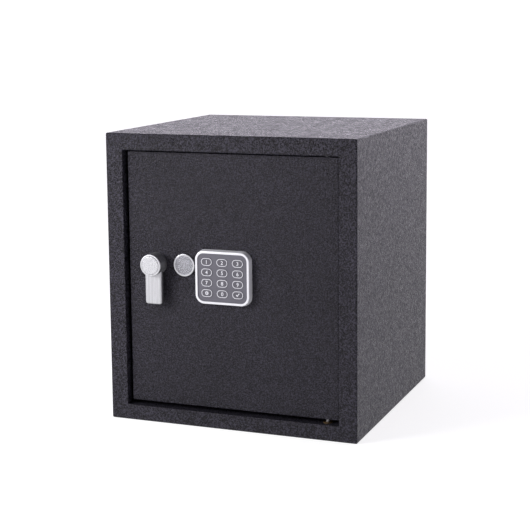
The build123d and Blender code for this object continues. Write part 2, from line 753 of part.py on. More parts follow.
def make_keyhole_cover():
    """Round cap over the keyhole: a raised rim around a slightly sunk face."""
    cap = rod_y(LOCK_X, COVER_CAP_Y, LOCK_Z, COVER_CAP_R)
    cap = fillet(front_edges(cap), COVER_CAP_EDGE_R)
    sunk = (COVER_CAP_Y[0] - CUT, COVER_CAP_Y[0] + COVER_CAP_RIM_STEP)
    cap -= rod_y(LOCK_X, sunk, LOCK_Z, COVER_CAP_R - COVER_CAP_RIM_W)
    hollow = (COVER_CAP_Y[0] + COVER_CAP_FACE_T, COVER_CAP_Y[1] + CUT)
    return cap - rod_y(LOCK_X, hollow, LOCK_Z, COVER_CAP_INNER_R)


# ---------------------------------------------------------------- keypad


def pad_profile(shrink):
    """Rounded keypad outline, drawn in by a given amount all round."""
    width, height = BEZEL_SIZE[0] - 2 * shrink, BEZEL_SIZE[1] - 2 * shrink
    return Pos(PAD_X, PAD_Z) * RectangleRounded(width, height, BEZEL_R - shrink)


def bezel_flare():
    """How much the drafted bezel grows on each side from its front to the door."""
    return (BEZEL_Y[1] - BEZEL_Y[0]) * tan(radians(BEZEL_DRAFT_DEG))


def make_keypad_bezel():
    """Cast frame of the keypad with four studs through the door."""
    rear = pad_profile(-bezel_flare()).face()
    bezel = extrude(Pos(0, BEZEL_Y[1], 0) * (Plane.XZ * rear),
                    amount=BEZEL_Y[1] - BEZEL_Y[0], taper=BEZEL_DRAFT_DEG)
    bezel = fillet(front_edges(bezel), BEZEL_EDGE_R)
    floor_y = BEZEL_Y[1] - BEZEL_BASE_T
    bezel -= prism_y(pad_profile(BEZEL_RIM), (BEZEL_Y[0] - CUT, floor_y))
    window = Pos(PAD_X, PAD_Z) * Rectangle(*BEZEL_WINDOW)
    bezel -= prism_y(window, (floor_y - CUT, BEZEL_Y[1] + CUT))
    for x, z in stud_points():
        bezel += rod_y(x, (floor_y, STUD_END_Y), z, STUD_R)
    return bezel


def key_points():
    """Key centres in reading order: three across, four down."""
    columns = (-KEY_PITCH[0], 0, KEY_PITCH[0])
    rows = [KEY_PITCH[1] * step for step in KEY_ROWS]
    return [(PAD_X + x, PAD_Z + z) for z in rows for x in columns]


def key_profile(x, z, grow):
    """Round-ended key outline grown by a given amount all round."""
    width, height = KEY_SIZE[0] + 2 * grow, KEY_SIZE[1] + 2 * grow
    return Pos(x, z) * RectangleRounded(width, height, KEY_R + grow)


def make_keypad_plate():
    """Face plate inside the bezel, pierced for the twelve keys."""
    profile = pad_profile(BEZEL_RIM + FACE_GAP)
    for x, z in key_points():
        profile -= key_profile(x, z, KEY_GAP)
    return prism_y(profile, FACE_Y)


def make_key(x, z):
    """One push key with a wider flange behind the face plate."""
    key = prism_y(key_profile(x, z, 0), (KEY_FRONT_Y, KEY_FLANGE_Y[0]))
    key = fillet(front_edges(key), KEY_EDGE_R)
    return key + prism_y(key_profile(x, z, KEY_FLANGE), KEY_FLANGE_Y)


def make_keypad_mat():
    """Rubber contact sheet under the keys."""
    return prism_y(pad_profile(BEZEL_RIM + PAD_INNER_GAP), PAD_MAT_Y)


def make_keypad_board():
    """Circuit board under the contact sheet."""
    return prism_y(pad_profile(BEZEL_RIM + PAD_INNER_GAP), PAD_BOARD_Y)


def make_keypad_nuts():
    """Four hexagon nuts behind the door on the keypad studs."""
    nut_y = (DOOR_Y[1], DOOR_Y[1] + STUD_NUT_T)
    nuts = []
    for x, z in stud_points():
        hexagon = Pos(x, z) * RegularPolygon(STUD_NUT_AF / 2, HEX, major_radius=False)
        nut = prism_y(hexagon, nut_y)
        nut -= rod_y(x, (nut_y[0] - CUT, nut_y[1] + CUT), z, STUD_R + FIT)
        nuts.append(nut.solid())
    return Compound(children=nuts)


# ---------------------------------------------------------------- lock cover


def make_lock_cover():
    """Pressed cover over the lock work, open on the bolt side, with a battery hatch."""
    y_range = (DOOR_Y[1], COVER_BACK_Y)
    cover = block(COVER_X, y_range, COVER_Z)
    cover -= block((COVER_X[0] - CUT, COVER_X[1] - COVER_T),
                   (y_range[0] - CUT, COVER_BACK_Y - COVER_T),
                   (COVER_Z[0] + COVER_T, COVER_Z[1] - COVER_T))
    flange_y = (DOOR_Y[1], DOOR_Y[1] + COVER_T)
    flange_x = (COVER_SCREW_X[0] - COVER_FLANGE, COVER_X[1])
    cover += block(flange_x, flange_y, (COVER_Z[0] - COVER_FLANGE, COVER_Z[0] + COVER_T))
    cover += block(flange_x, flange_y, (COVER_Z[1] - COVER_T, COVER_Z[1] + COVER_FLANGE))
    for x, z in cover_screw_points():
        cover -= rod_y(x, (flange_y[0] - CUT, flange_y[1] + CUT), z, SCREW_R + FIT)
    through = (COVER_BACK_Y - COVER_T - CUT, COVER_BACK_Y + CUT)
    cover -= block((HOLDER_X[0] + HATCH_MARGIN, HOLDER_X[1] - HATCH_MARGIN), through,
                   (HOLDER_Z[0] + HATCH_MARGIN, HOLDER_Z[1] - HATCH_MARGIN))
    cover -= rod_y(RESET_X, through, RESET_Z, RESET_HOLE_R)
    for side in (-1, 1):
        cover += hatch_rail(side)
    ledge_z = (LID_Z[0] - RAIL_GAP - LEDGE_T, LID_Z[0] - RAIL_GAP)
    return cover + block(LID_X, (COVER_BACK_Y - COVER_T, LEDGE_TOP_Y), ledge_z)


def hatch_rail(side):
    """One of the two rails the battery lid slides in."""
    inner = LID_X[1] + RAIL_GAP
    outer = inner + RAIL_T
    web_x = sorted((side * inner, side * outer))
    lip_x = sorted((side * (inner - RAIL_LIP), side * outer))
    rail = block(web_x, (COVER_BACK_Y - COVER_T, RAIL_TOP_Y), (COVER_Z[0], LID_Z[1]))
    return rail + block(lip_x, (RAIL_TOP_Y - RAIL_T, RAIL_TOP_Y), (COVER_Z[0], LID_Z[1]))


def pan_screw(x, z, head_y, head, shank_r, tip_y):
    """Pan-head screw along Y with a plain recess; head is (radius, height)."""
    screw = rod_y(x, (head_y, head_y + head[1]), z, head[0])
    screw += rod_y(x, (tip_y, head_y), z, shank_r)
    recess = (head_y + head[1] - SCREW_RECESS_D, head_y + head[1] + CUT)
    return (screw - rod_y(x, recess, z, SCREW_RECESS_R)).solid()


def make_cover_screws():
    """Four screws holding the lock cover to the door."""
    head_y = DOOR_Y[1] + COVER_T
    tip_y = DOOR_Y[1] - SCREW_DEPTH + PIN_END_GAP
    head = (SCREW_HEAD_R, SCREW_HEAD_T)
    return Compound(children=[pan_screw(x, z, head_y, head, SCREW_R, tip_y)
                              for x, z in cover_screw_points()])


def make_battery_holder():
    """Moulded tray for four cells, its mouth at the cover hatch."""
    tray = block(HOLDER_X, HOLDER_Y, HOLDER_Z)
    inner_x = (HOLDER_X[0] + HOLDER_WALL, HOLDER_X[1] - HOLDER_WALL)
    inner_z = (HOLDER_Z[0] + HOLDER_WALL, HOLDER_Z[1] - HOLDER_WALL)
    floor_y = HOLDER_Y[0] + HOLDER_WALL
    tray -= block(inner_x, (floor_y, HOLDER_Y[1] + CUT), inner_z)
    for step in (-1, 0, 1):
        x = step * CELL_PITCH
        rib_x = (x - HOLDER_RIB_T / 2, x + HOLDER_RIB_T / 2)
        tray += block(rib_x, (floor_y - FIT, floor_y + HOLDER_RIB_H), inner_z)
    return tray


def make_cell(index):
    """One AA cell; neighbours face opposite ways."""
    x = (index - (CELLS - 1) / 2) * CELL_PITCH
    cell = rod_z(x, CELL_Y, CELL_Z, CELL_R)
    cell = fillet(cell.edges().filter_by(GeomType.CIRCLE), CELL_EDGE_R)
    if index % 2:
        nub = (CELL_Z[0] - CELL_NUB_H, CELL_Z[0])
    else:
        nub = (CELL_Z[1], CELL_Z[1] + CELL_NUB_H)
    return cell + rod_z(x, CELL_Y, nub, CELL_NUB_R)


def make_battery_lid():
    """Sliding lid over the cells, with three grip ribs."""
    lid = block(LID_X, LID_Y, LID_Z)
    half_w = LID_GRIP[0] / 2
    for z in LID_GRIP_Z:
        lid += block((-half_w, half_w), (LID_Y[1], LID_Y[1] + LID_GRIP[1]),
                     (z - LID_GRIP[2] / 2, z + LID_GRIP[2] / 2))
    return lid


# ---------------------------------------------------------------- electronics


def board_part(at, size):
    """Square-sided component on the back of the control board; size is (x, z, height)."""
    half_x, half_z = size[0] / 2, size[1] / 2
    return block((at[0] - half_x, at[0] + half_x), (BOARD_Y[1], BOARD_Y[1] + size[2]),
                 (at[1] - half_z, at[1] + half_z))


def make_control_board():
    """Controller board with its switch, chip, buzzer, socket and capacitor."""
    board = block(BOARD_X, BOARD_Y, BOARD_Z)
    for x, z in board_points():
        board -= rod_y(x, (BOARD_Y[0] - CUT, BOARD_Y[1] + CUT), z, BOARD_HOLE_R)
    board += board_part((RESET_X, RESET_Z), SWITCH)
    board += board_part(CHIP_AT, CHIP)
    board += board_part(SOCKET_AT, SOCKET)
    board += rod_y(BUZZER_AT[0], (BOARD_Y[1], BOARD_Y[1] + BUZZER_H), BUZZER_AT[1], BUZZER_R)
    capacitor_y = (BOARD_Y[1], BOARD_Y[1] + CAPACITOR_H)
    return board + rod_y(CAPACITOR_AT[0], capacitor_y, CAPACITOR_AT[1], CAPACITOR_R)


def make_board_standoffs():
    """Four moulded stand-offs that clip through the control board."""
    clip_r, clip_gap, clip_h = STANDOFF_CLIP
    posts = []
    for x, z in board_points():
        post = rod_y(x, (DOOR_Y[1], BOARD_Y[0]), z, STANDOFF_R)
        pin_y = (DOOR_Y[1] - STANDOFF_SEAT + FIT, BOARD_Y[1] + clip_gap + clip_h)
        post += rod_y(x, pin_y, z, STANDOFF_PIN_R)
        head = rod_y(x, (BOARD_Y[1] + clip_gap, pin_y[1]), z, clip_r)
        rear = head.edges().filter_by(GeomType.CIRCLE).sort_by(Axis.Y)[-1]
        posts.append((post + chamfer(rear, clip_r / 2)).solid())
    return Compound(children=posts)


def make_reset_button():
    """Code reset button that passes through the cover."""
    button = rod_y(RESET_X, RESET_Y, RESET_Z, RESET_R)
    rear = button.edges().filter_by(GeomType.CIRCLE).sort_by(Axis.Y)[-1]
    return fillet(rear, RESET_HEAD_R)


def all_pieces():
    """Every separate piece by name."""
    pieces = {
        "cabinet_shell": make_cabinet_shell(),
        "front_frame": make_front_frame(),
        "back_panel": make_back_panel(),
        "floor_mat": make_floor_mat(),
        "hinge_plates": make_hinge_plates(),
        "hinge_bush_lower": make_hinge_bush_lower(),
        "hinge_bush_upper": make_hinge_bush_upper(),
        "door_panel": make_door_panel(),
        "hinge_blocks": make_hinge_blocks(),
        "hinge_pin_lower": make_hinge_pin(0),
        "hinge_pin_upper": make_hinge_pin(1),
        "spindle_bush": make_spindle_bush(),
        "bolt_guide": make_bolt_guide(),
        "guide_posts": make_guide_posts(),
        "post_clips": make_post_clips(),
        "knob_body": make_knob_body(),
        "knob_cap": make_knob_cap(),
        "knob_spindle": make_knob_spindle(),
        "spindle_clip": make_spindle_clip(),
        "drive_cam": make_drive_cam(),
        "bolt_lower": make_bolt(BOLT_Z[0]),
        "bolt_upper": make_bolt(BOLT_Z[1]),
        "bolt_carriage": make_bolt_carriage(),
        "stop_bracket": make_stop_bracket(),
        "solenoid_frame": make_solenoid_frame(),
        "solenoid_coil": make_solenoid_coil(),
        "solenoid_plunger": make_solenoid_plunger(),
        "lock_housing": make_lock_housing(),
        "lock_nut": make_lock_nut(),
        "key_plug": make_key_plug(),
        "key_cam": make_key_cam(),
        "keyhole_cover": make_keyhole_cover(),
        "keypad_bezel": make_keypad_bezel(),
        "keypad_plate": make_keypad_plate(),
        "keypad_mat": make_keypad_mat(),
        "keypad_board": make_keypad_board(),
        "keypad_nuts": make_keypad_nuts(),
        "lock_cover": make_lock_cover(),
        "cover_screws": make_cover_screws(),
        "battery_holder": make_battery_holder(),
        "battery_lid": make_battery_lid(),
        "control_board": make_control_board(),
        "board_standoffs": make_board_standoffs(),
        "reset_button": make_reset_button(),
    }
    for index in range(CELLS):
        pieces[f"battery_{index + 1}"] = make_cell(index)
    labels = ("1", "2", "3", "4", "5", "6", "7", "8", "9", "program", "0", "enter")
    for label, (x, z) in zip(labels, key_points()):
        pieces[f"key_{label}"] = make_key(x, z)
    return pieces


def write_parts():
    """One STEP file per piece."""
    os.makedirs("parts", exist_ok=True)
    for name, shape in all_pieces().items():
        export_step(shape, f"parts/{name}.step")


write_parts()
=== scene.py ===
import json
import math

import bmesh
import bpy
from mathutils import Matrix, Vector


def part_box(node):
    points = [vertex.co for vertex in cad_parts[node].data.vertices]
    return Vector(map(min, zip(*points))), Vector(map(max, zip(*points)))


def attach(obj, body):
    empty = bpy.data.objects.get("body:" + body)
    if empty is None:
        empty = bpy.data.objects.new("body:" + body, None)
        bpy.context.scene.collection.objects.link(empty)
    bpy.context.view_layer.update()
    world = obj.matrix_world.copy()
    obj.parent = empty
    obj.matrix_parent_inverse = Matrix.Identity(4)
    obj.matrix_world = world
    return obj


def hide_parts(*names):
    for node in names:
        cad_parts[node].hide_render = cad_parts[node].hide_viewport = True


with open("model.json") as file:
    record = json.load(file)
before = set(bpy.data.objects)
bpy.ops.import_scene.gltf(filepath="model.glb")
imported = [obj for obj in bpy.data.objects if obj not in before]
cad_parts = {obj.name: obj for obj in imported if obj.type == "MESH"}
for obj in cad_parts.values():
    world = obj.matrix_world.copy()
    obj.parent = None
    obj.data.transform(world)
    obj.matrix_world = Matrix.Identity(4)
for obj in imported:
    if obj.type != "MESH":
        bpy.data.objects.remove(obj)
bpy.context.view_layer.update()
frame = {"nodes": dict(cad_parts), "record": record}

nodes = frame["nodes"]
MM = 0.001


# ---------------------------------------------------------------- shader helpers


class Graph:
    """One procedural material, with short calls for the nodes it is made of."""

    def __init__(self, name, roughness=0.5, metallic=0.0, ior=1.5):
        self.material = bpy.data.materials.new(name)
        self.material.use_nodes = True
        self.tree = self.material.node_tree
        self.shader = self.tree.nodes["Principled BSDF"]
        self.place = self.add("ShaderNodeTexCoord").outputs["Object"]
        self.set("Roughness", roughness)
        self.set("Metallic", metallic)
        self.set("IOR", ior)

    def add(self, kind, **values):
        node = self.tree.nodes.new(kind)
        for key, value in values.items():
            setattr(node, key, value)
        return node

    def join(self, source, target):
        self.tree.links.new(source, target)

    def set(self, socket, value):
        """Sets a shader socket, to a number or colour or to a node's output."""
        target = self.shader.inputs[socket]
        if isinstance(value, bpy.types.NodeSocket):
            self.join(value, target)
        else:
            target.default_value = value

    def stretched(self, x, y, z, turn=(0, 0, 0)):
        """Object coordinates scaled along each axis."""
        node = self.add("ShaderNodeMapping")
        node.inputs["Scale"].default_value = (x, y, z)
        node.inputs["Rotation"].default_value = turn
        self.join(self.place, node.inputs["Vector"])
        return node.outputs["Vector"]

    def noise(self, scale, detail=3.0, rough=0.5, vector=None):
        node = self.add("ShaderNodeTexNoise")
        node.inputs["Scale"].default_value = scale
        node.inputs["Detail"].default_value = detail
        node.inputs["Roughness"].default_value = rough
        self.join(vector or self.place, node.inputs["Vector"])
        return node.outputs["Fac"]

    def cells(self, scale):
        node = self.add("ShaderNodeTexVoronoi", feature="F1")
        node.inputs["Scale"].default_value = scale
        self.join(self.place, node.inputs["Vector"])
        return node.outputs["Distance"]

    def ramp(self, value, stops):
        """Value to colour; stops are (position, colour or grey)."""
        node = self.add("ShaderNodeValToRGB")
        ramp = node.color_ramp
        while len(ramp.elements) < len(stops):
            ramp.elements.new(0.5)
        for element, (position, colour) in zip(ramp.elements, stops):
            element.position = position
            element.color = rgba(colour)
        self.join(value, node.inputs["Fac"])
        return node.outputs["Color"]

    def span(self, value, low, high, to_low, to_high):
        """Maps a range of a value onto another range."""
        node = self.add("ShaderNodeMapRange")
        pairs = (("From Min", low), ("From Max", high), ("To Min", to_low), ("To Max", to_high))
        for key, number in pairs:
            node.inputs[key].default_value = number
        self.join(value, node.inputs["Value"])
        return node.outputs["Result"]

    def math(self, operation, a, b=0.0):
        node = self.add("ShaderNodeMath", operation=operation)
        for socket, value in zip(node.inputs, (a, b)):
            if isinstance(value, bpy.types.NodeSocket):
                self.join(value, socket)
            else:
                socket.default_value = value
        return node.outputs["Value"]

    def mix(self, factor, a, b, blend="MIX"):
        node = self.add("ShaderNodeMix", data_type="RGBA", blend_type=blend)
        for index, value in ((0, factor), (6, a), (7, b)):
            socket = node.inputs[index]
            if isinstance(value, bpy.types.NodeSocket):
                self.join(value, socket)
            else:
                socket.default_value = value if index == 0 else rgba(value)
        return node.outputs[2]

    def axis(self, name, vector=None):
        node = self.add("ShaderNodeSeparateXYZ")
        self.join(vector or self.place, node.inputs[0])
        return node.outputs[name]

    def facets(self, scale, amount):
        """Surface normal tilted at random from grain to grain, the same from near and far."""
        grains = self.add("ShaderNodeTexNoise")
        grains.inputs["Scale"].default_value = scale
        grains.inputs["Detail"].default_value = 1.0
        self.join(self.place, grains.inputs["Vector"])
        tilt = self.add("ShaderNodeVectorMath", operation="MULTIPLY_ADD")
        self.join(grains.outputs["Color"], tilt.inputs[0])
        tilt.inputs[1].default_value = (amount, amount, amount)
        tilt.inputs[2].default_value = (-amount / 2, -amount / 2, -amount / 2)
        total = self.add("ShaderNodeVectorMath", operation="ADD")
        self.join(self.add("ShaderNodeNewGeometry").outputs["Normal"], total.inputs[0])
        self.join(tilt.outputs[0], total.inputs[1])
        unit = self.add("ShaderNodeVectorMath", operation="NORMALIZE")
        self.join(total.outputs[0], unit.inputs[0])
        return unit.outputs[0]

    def bump(self, height, distance, under=None):
        node = self.add("ShaderNodeBump")
        node.inputs["Strength"].default_value = 1.0
        node.inputs["Distance"].default_value = distance
        self.join(height, node.inputs["Height"])
        if under:
            self.join(under, node.inputs["Normal"])
        self.set("Normal", node.outputs["Normal"])


def rgba(colour):
    """Grey number or RGB to RGBA."""
    if isinstance(colour, (int, float)):
        return (colour, colour, colour, 1.0)
    return tuple(colour) + (1.0,) * (4 - len(colour))


# ---------------------------------------------------------------- materials


def powder_coat(name, tone, grain, depth):
    """Black textured powder coat; grain is the size of its pimples in metres.

    On level faces it has flowed out into broader patches of gloss. Its colour carries painted highlights
    on the pimple tops and painted shade in the pits.
    """
    g = Graph(name, ior=1.26)
    g.set("Specular Tint", COAT_GLOSS)
    pimples = g.noise(1 / grain, detail=1.0)
    pits = g.cells(0.7 / grain)
    fine = g.math("ADD", pimples, g.math("MULTIPLY", pits, 0.5))
    peel = g.noise(0.42 / grain, detail=3.0, rough=0.7)
    height = g.math("ADD", fine, g.math("MULTIPLY", peel, 1.2))
    # Painted highlights and painted shade: the colour follows the grain's height, with pimple tops up to
    # 4.6 times the tone and pits down to a fifth of it.
    dark = tuple(0.2 * c for c in tone)
    light = tuple(4.6 * c for c in tone)
    speck = g.ramp(fine, [(0.58, dark), (0.72, tone), (0.9, light)])
    cloud = g.span(g.noise(9, detail=2), 0.3, 0.7, 0.88, 1.12)
    g.set("Base Color", g.mix(1.0, speck, cloud, "MULTIPLY"))
    sheen = g.math("ADD", g.span(fine, 0.5, 0.95, 0.1, 0.3), g.span(peel, 0.38, 0.62, 0.05, 0.4))
    flow = g.span(g.noise(0.13 / grain, detail=4.0, rough=0.75), 0.38, 0.62, -0.1, 0.11)
    facing = g.add("ShaderNodeNewGeometry").outputs["Normal"]
    level = g.math("MAXIMUM", g.axis("Z", facing), 0.0)
    g.set("Roughness", g.math("ADD", sheen, g.math("MULTIPLY", flow, level)))
    g.bump(height, depth, under=g.facets(0.6 / grain, 0.5))
    return g.material


def satin_metal(name, tone, streaks, depth, roughness=0.3, dull=0.82):
    """Plated metal with a fine brushed or cast surface; streaks scales it along x, y, z."""
    g = Graph(name, roughness=roughness, metallic=1.0)
    lines = g.noise(1.0, detail=4, rough=0.6, vector=g.stretched(*streaks))
    grain = g.noise(2600, detail=2)
    shade = g.math("ADD", g.math("MULTIPLY", lines, 0.7), g.math("MULTIPLY", grain, 0.3))
    g.set("Base Color", g.ramp(shade, [(0.32, tuple(dull * c for c in tone)), (0.68, tone)]))
    g.set("Roughness", g.span(lines, 0.3, 0.7, roughness - 0.06, roughness + 0.08))
    g.bump(shade, depth)
    return g.material


def lacquer(name, tone):
    """Silver lacquer: fine flake in a clear coat, half way between paint and metal."""
    g = Graph(name, roughness=0.34, metallic=0.3)
    flake = g.noise(3200, detail=2)
    broad = g.noise(90, detail=2)
    shade = g.math("ADD", g.math("MULTIPLY", flake, 0.7), g.math("MULTIPLY", broad, 0.3))
    g.set("Base Color", g.ramp(shade, [(0.35, tuple(0.86 * c for c in tone)), (0.65, tone)]))
    g.set("Roughness", g.span(flake, 0.3, 0.7, 0.3, 0.42))
    g.bump(flake, 0.00003)
    return g.material


def stippled_metal():
    """Sunk face of the keyhole cover: a fine even stipple, with painted shade in its pits."""
    g = Graph("stippled_metal", metallic=1.0)
    dots = g.cells(1150)
    soft = g.noise(620, detail=3, rough=0.65)
    height = g.math("ADD", g.math("MULTIPLY", dots, 0.7), g.math("MULTIPLY", soft, 0.5))
    # Painted shade: the colour follows the stipple's height, dark in the pits and light on the tops.
    g.set("Base Color", g.ramp(height, [(0.42, (0.08, 0.08, 0.09)), (0.82, (0.42, 0.42, 0.45))]))
    g.set("Roughness", g.span(soft, 0.3, 0.7, 0.42, 0.62))
    g.bump(height, 0.00022)
    return g.material


def plastic(name, tone, grain=0.0006, depth=0.00004, roughness=0.5):
    """Moulded plastic with a fine spark-eroded grain."""
    g = Graph(name, roughness=roughness)
    fine = g.noise(1 / grain, detail=3)
    broad = g.noise(60, detail=2)
    light = tuple(min(1.0, 1.12 * c) for c in tone)
    dark = tuple(0.88 * c for c in tone)
    blend = g.math("ADD", g.math("MULTIPLY", fine, 0.6), g.math("MULTIPLY", broad, 0.4))
    g.set("Base Color", g.ramp(blend, [(0.35, dark), (0.65, light)]))
    g.set("Roughness", g.span(fine, 0.3, 0.7, roughness - 0.06, roughness + 0.08))
    g.bump(fine, depth)
    return g.material


def felt():
    """Needle felt: matted short fibres."""
    g = Graph("felt", roughness=0.95)
    fibres = g.noise(1.0, detail=5, rough=0.7, vector=g.stretched(900, 2600, 900, (0, 0, 0.5)))
    across = g.noise(1.0, detail=5, rough=0.7, vector=g.stretched(2600, 800, 900, (0, 0, 0.2)))
    mat = g.math("MAXIMUM", fibres, across)
    g.set("Base Color", g.ramp(mat, [(0.4, (0.01, 0.01, 0.012)), (0.8, (0.05, 0.05, 0.055))]))
    g.set("Sheen Weight", 0.08)
    g.set("Sheen Roughness", 0.5)
    g.bump(mat, 0.0006)
    return g.material


def circuit_board():
    """Green solder mask over copper tracks, with plated pads."""
    g = Graph("circuit_board", roughness=0.34)
    grid = g.stretched(240, 240, 240)
    tracks = g.add("ShaderNodeTexBrick", offset=0.5, squash=1.6)
    tracks.inputs["Scale"].default_value = 1.0
    tracks.inputs["Mortar Size"].default_value = 0.08
    swap = g.add("ShaderNodeCombineXYZ")
    g.join(g.axis("X", grid), swap.inputs["X"])
    g.join(g.axis("Z", grid), swap.inputs["Y"])
    g.join(swap.outputs[0], tracks.inputs["Vector"])
    raised = tracks.outputs["Fac"]
    pads = g.math("LESS_THAN", g.cells(170), 0.16)
    mask = g.mix(raised, (0.008, 0.07, 0.022), (0.02, 0.15, 0.045))
    g.set("Base Color", g.mix(pads, mask, (0.62, 0.58, 0.46)))
    g.set("Metallic", g.math("MULTIPLY", pads, 0.9))
    g.set("Roughness", g.span(g.noise(900), 0.3, 0.7, 0.28, 0.42))
    g.bump(raised, 0.00005)
    return g.material


def cell_jacket(low, high):
    """Battery sleeve: dark body, metallic band at one end, bare steel at the tips."""
    g = Graph("cell_jacket", roughness=0.3)
    along = g.span(g.axis("Z"), low, high, 0.0, 1.0)
    band = g.math("GREATER_THAN", along, 0.7)
    tips = g.math("GREATER_THAN", g.math("ABSOLUTE", g.math("SUBTRACT", along, 0.5)), 0.475)
    scuff = g.noise(700, detail=4)
    body = g.ramp(scuff, [(0.3, (0.012, 0.014, 0.02)), (0.7, (0.03, 0.034, 0.045))])
    gold = g.ramp(scuff, [(0.3, (0.52, 0.27, 0.1)), (0.7, (0.66, 0.38, 0.16))])
    steel = g.ramp(scuff, [(0.3, (0.5, 0.5, 0.51)), (0.7, (0.68, 0.68, 0.69))])
    g.set("Base Color", g.mix(tips, g.mix(band, body, gold), steel))
    g.set("Metallic", g.math("MAXIMUM", g.math("MULTIPLY", band, 0.7), tips))
    g.bump(scuff, 0.00003)
    return g.material


def winding():
    """Enamelled copper winding between pale bobbin ends."""
    low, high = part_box("solenoid_coil")
    g = Graph("winding", roughness=0.32)
    along = g.axis("Z")
    turns = g.add("ShaderNodeTexWave", wave_type="BANDS", bands_direction="Z")
    turns.inputs["Scale"].default_value = 700
    turns.inputs["Distortion"].default_value = 0.6
    g.join(g.place, turns.inputs["Vector"])
    middle = (low.z + high.z) / 2
    reach = (high.z - low.z) / 2 - 0.0016
    ends = g.math("GREATER_THAN", g.math("ABSOLUTE", g.math("SUBTRACT", along, middle)), reach)
    copper = g.ramp(turns.outputs["Fac"], [(0.2, (0.24, 0.07, 0.03)), (0.8, (0.72, 0.3, 0.14))])
    g.set("Base Color", g.mix(ends, copper, (0.62, 0.6, 0.55)))
    g.set("Metallic", g.math("SUBTRACT", 0.85, g.math("MULTIPLY", ends, 0.85)))
    g.bump(turns.outputs["Fac"], 0.0002)
    return g.material


def printed_ink():
    """Pale screen-printed ink of the key outlines and legends."""
    g = Graph("printed_ink", roughness=0.5)
    speck = g.noise(4200, detail=3)
    g.set("Base Color", g.ramp(speck, [(0.3, (0.5, 0.5, 0.54)), (0.7, (0.66, 0.66, 0.7))]))
    g.bump(speck, 0.00002)
    return g.material


def pale_floor():
    """Studio floor, close to white."""
    g = Graph("pale_floor", roughness=0.9)
    g.set("Base Color", g.ramp(g.noise(3, detail=2), [(0.3, 0.38), (0.7, 0.4)]))
    g.set("Emission Color", rgba(1.0))
    g.set("Emission Strength", 0.74)
    return g.material


def paint(material, *names):
    """Gives a material to CAD nodes or to pieces."""
    for name in names:
        piece = nodes.get(name) or bpy.data.objects[name]
        piece.data.materials.clear()
        piece.data.materials.append(material)


KEYS = ("1", "2", "3", "4", "5", "6", "7", "8", "9", "program", "0", "enter")
COAT = (0.007, 0.0066, 0.0092)
COAT_GLOSS = (1.0, 0.95, 1.0, 1.0)


def paint_cad():
    """Materials for every CAD node that shows."""
    coat = powder_coat("powder_coat", COAT, 0.0014, 0.00095)
    paint(coat, "cabinet_shell", "front_frame", "back_panel", "hinge_plates")
    paint(powder_coat("door_coat", tuple(0.9 * c for c in COAT), 0.0013, 0.0008), "door_panel",
          "hinge_blocks", "lock_cover")
    silver = (0.52, 0.52, 0.54)
    paint(satin_metal("satin_lever", (0.58, 0.58, 0.6), (420, 420, 12), 0.0002, 0.46, 0.55),
          "knob_body")
    paint(satin_metal("satin_disc", (0.55, 0.55, 0.57), (900, 900, 900), 0.00005, 0.26), "knob_cap")
    paint(lacquer("silver_lacquer", (0.7, 0.7, 0.73)), "keypad_bezel")
    paint(satin_metal("satin_cover", silver, (1100, 300, 1100), 0.00005), "keyhole_cover")
    zinc = satin_metal("zinc_plate", (0.62, 0.63, 0.66), (420, 420, 420), 0.00006, 0.34)
    paint(zinc, "stop_bracket", "bolt_guide", "guide_posts", "post_clips", "knob_spindle", "spindle_clip",
          "drive_cam", "bolt_carriage", "solenoid_frame", "solenoid_plunger", "lock_nut",
          "key_cam", "keypad_nuts", "cover_screws")
    turned = satin_metal("turned_steel", (0.66, 0.67, 0.69), (2400, 60, 60), 0.00004, 0.22)
    paint(turned, "bolt_lower", "bolt_upper")
    pin = satin_metal("ground_steel", (0.3, 0.3, 0.31), (60, 60, 2400), 0.00003, 0.3)
    paint(pin, "hinge_pin_lower", "hinge_pin_upper")
    paint(satin_metal("bronze", (0.2, 0.13, 0.06), (500, 500, 500), 0.00005, 0.45),
          "hinge_bush_lower", "hinge_bush_upper", "spindle_bush")
    paint(satin_metal("brass", (0.72, 0.54, 0.24), (900, 80, 900), 0.00004, 0.24),
          "lock_housing", "key_plug")
    paint(plastic("keypad_grey", (0.078, 0.075, 0.093)), "keypad_plate")
    paint(plastic("key_grey", (0.064, 0.061, 0.075), 0.0008), *[f"key_{k}" for k in KEYS])
    paint(plastic("silicone", (0.2, 0.2, 0.22)), "keypad_mat")
    paint(circuit_board(), "keypad_board", "control_board")
    paint(plastic("black_plastic", (0.014, 0.014, 0.015), 0.0009, 0.00008), "battery_holder",
          "battery_lid")
    paint(plastic("nylon", (0.66, 0.64, 0.58)), "board_standoffs")
    paint(plastic("red_plastic", (0.42, 0.012, 0.01), roughness=0.3), "reset_button")
    low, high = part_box("battery_1")
    paint(cell_jacket(low.z, high.z), "battery_1", "battery_2", "battery_3", "battery_4")
    paint(winding(), "solenoid_coil")


# ---------------------------------------------------------------- pieces


def new_piece(name, build, material, body, smooth_angle=None):
    """Mesh object from a bmesh builder, with its material and body."""
    mesh = bpy.data.meshes.new(name)
    bm = bmesh.new()
    build(bm)
    bmesh.ops.recalc_face_normals(bm, faces=bm.faces)
    bm.to_mesh(mesh)
    bm.free()
    piece = bpy.data.objects.new(name, mesh)
    bpy.context.collection.objects.link(piece)
    mesh.materials.append(material)
    if smooth_angle:
        mesh.polygons.foreach_set("use_smooth", [True] * len(mesh.polygons))
        mesh.set_sharp_from_angle(angle=smooth_angle)
    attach(piece, body)
    return piece


def centre(node):
    low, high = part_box(node)
    return (low + high) / 2


def pill(half_w, half_h, steps=10):
    """Outline of a round-ended key, anticlockwise, around its own centre."""
    radius = min(half_h, half_w) - PILL_FLAT
    points = []
    for corner, (sx, sz) in enumerate(((1, 1), (-1, 1), (-1, -1), (1, -1))):
        for step in range(steps + 1):
            angle = math.radians(90 * (corner + step / steps))
            points.append((sx * (half_w - radius) + radius * math.cos(angle),
                           sz * (half_h - radius) + radius * math.sin(angle)))
    return points


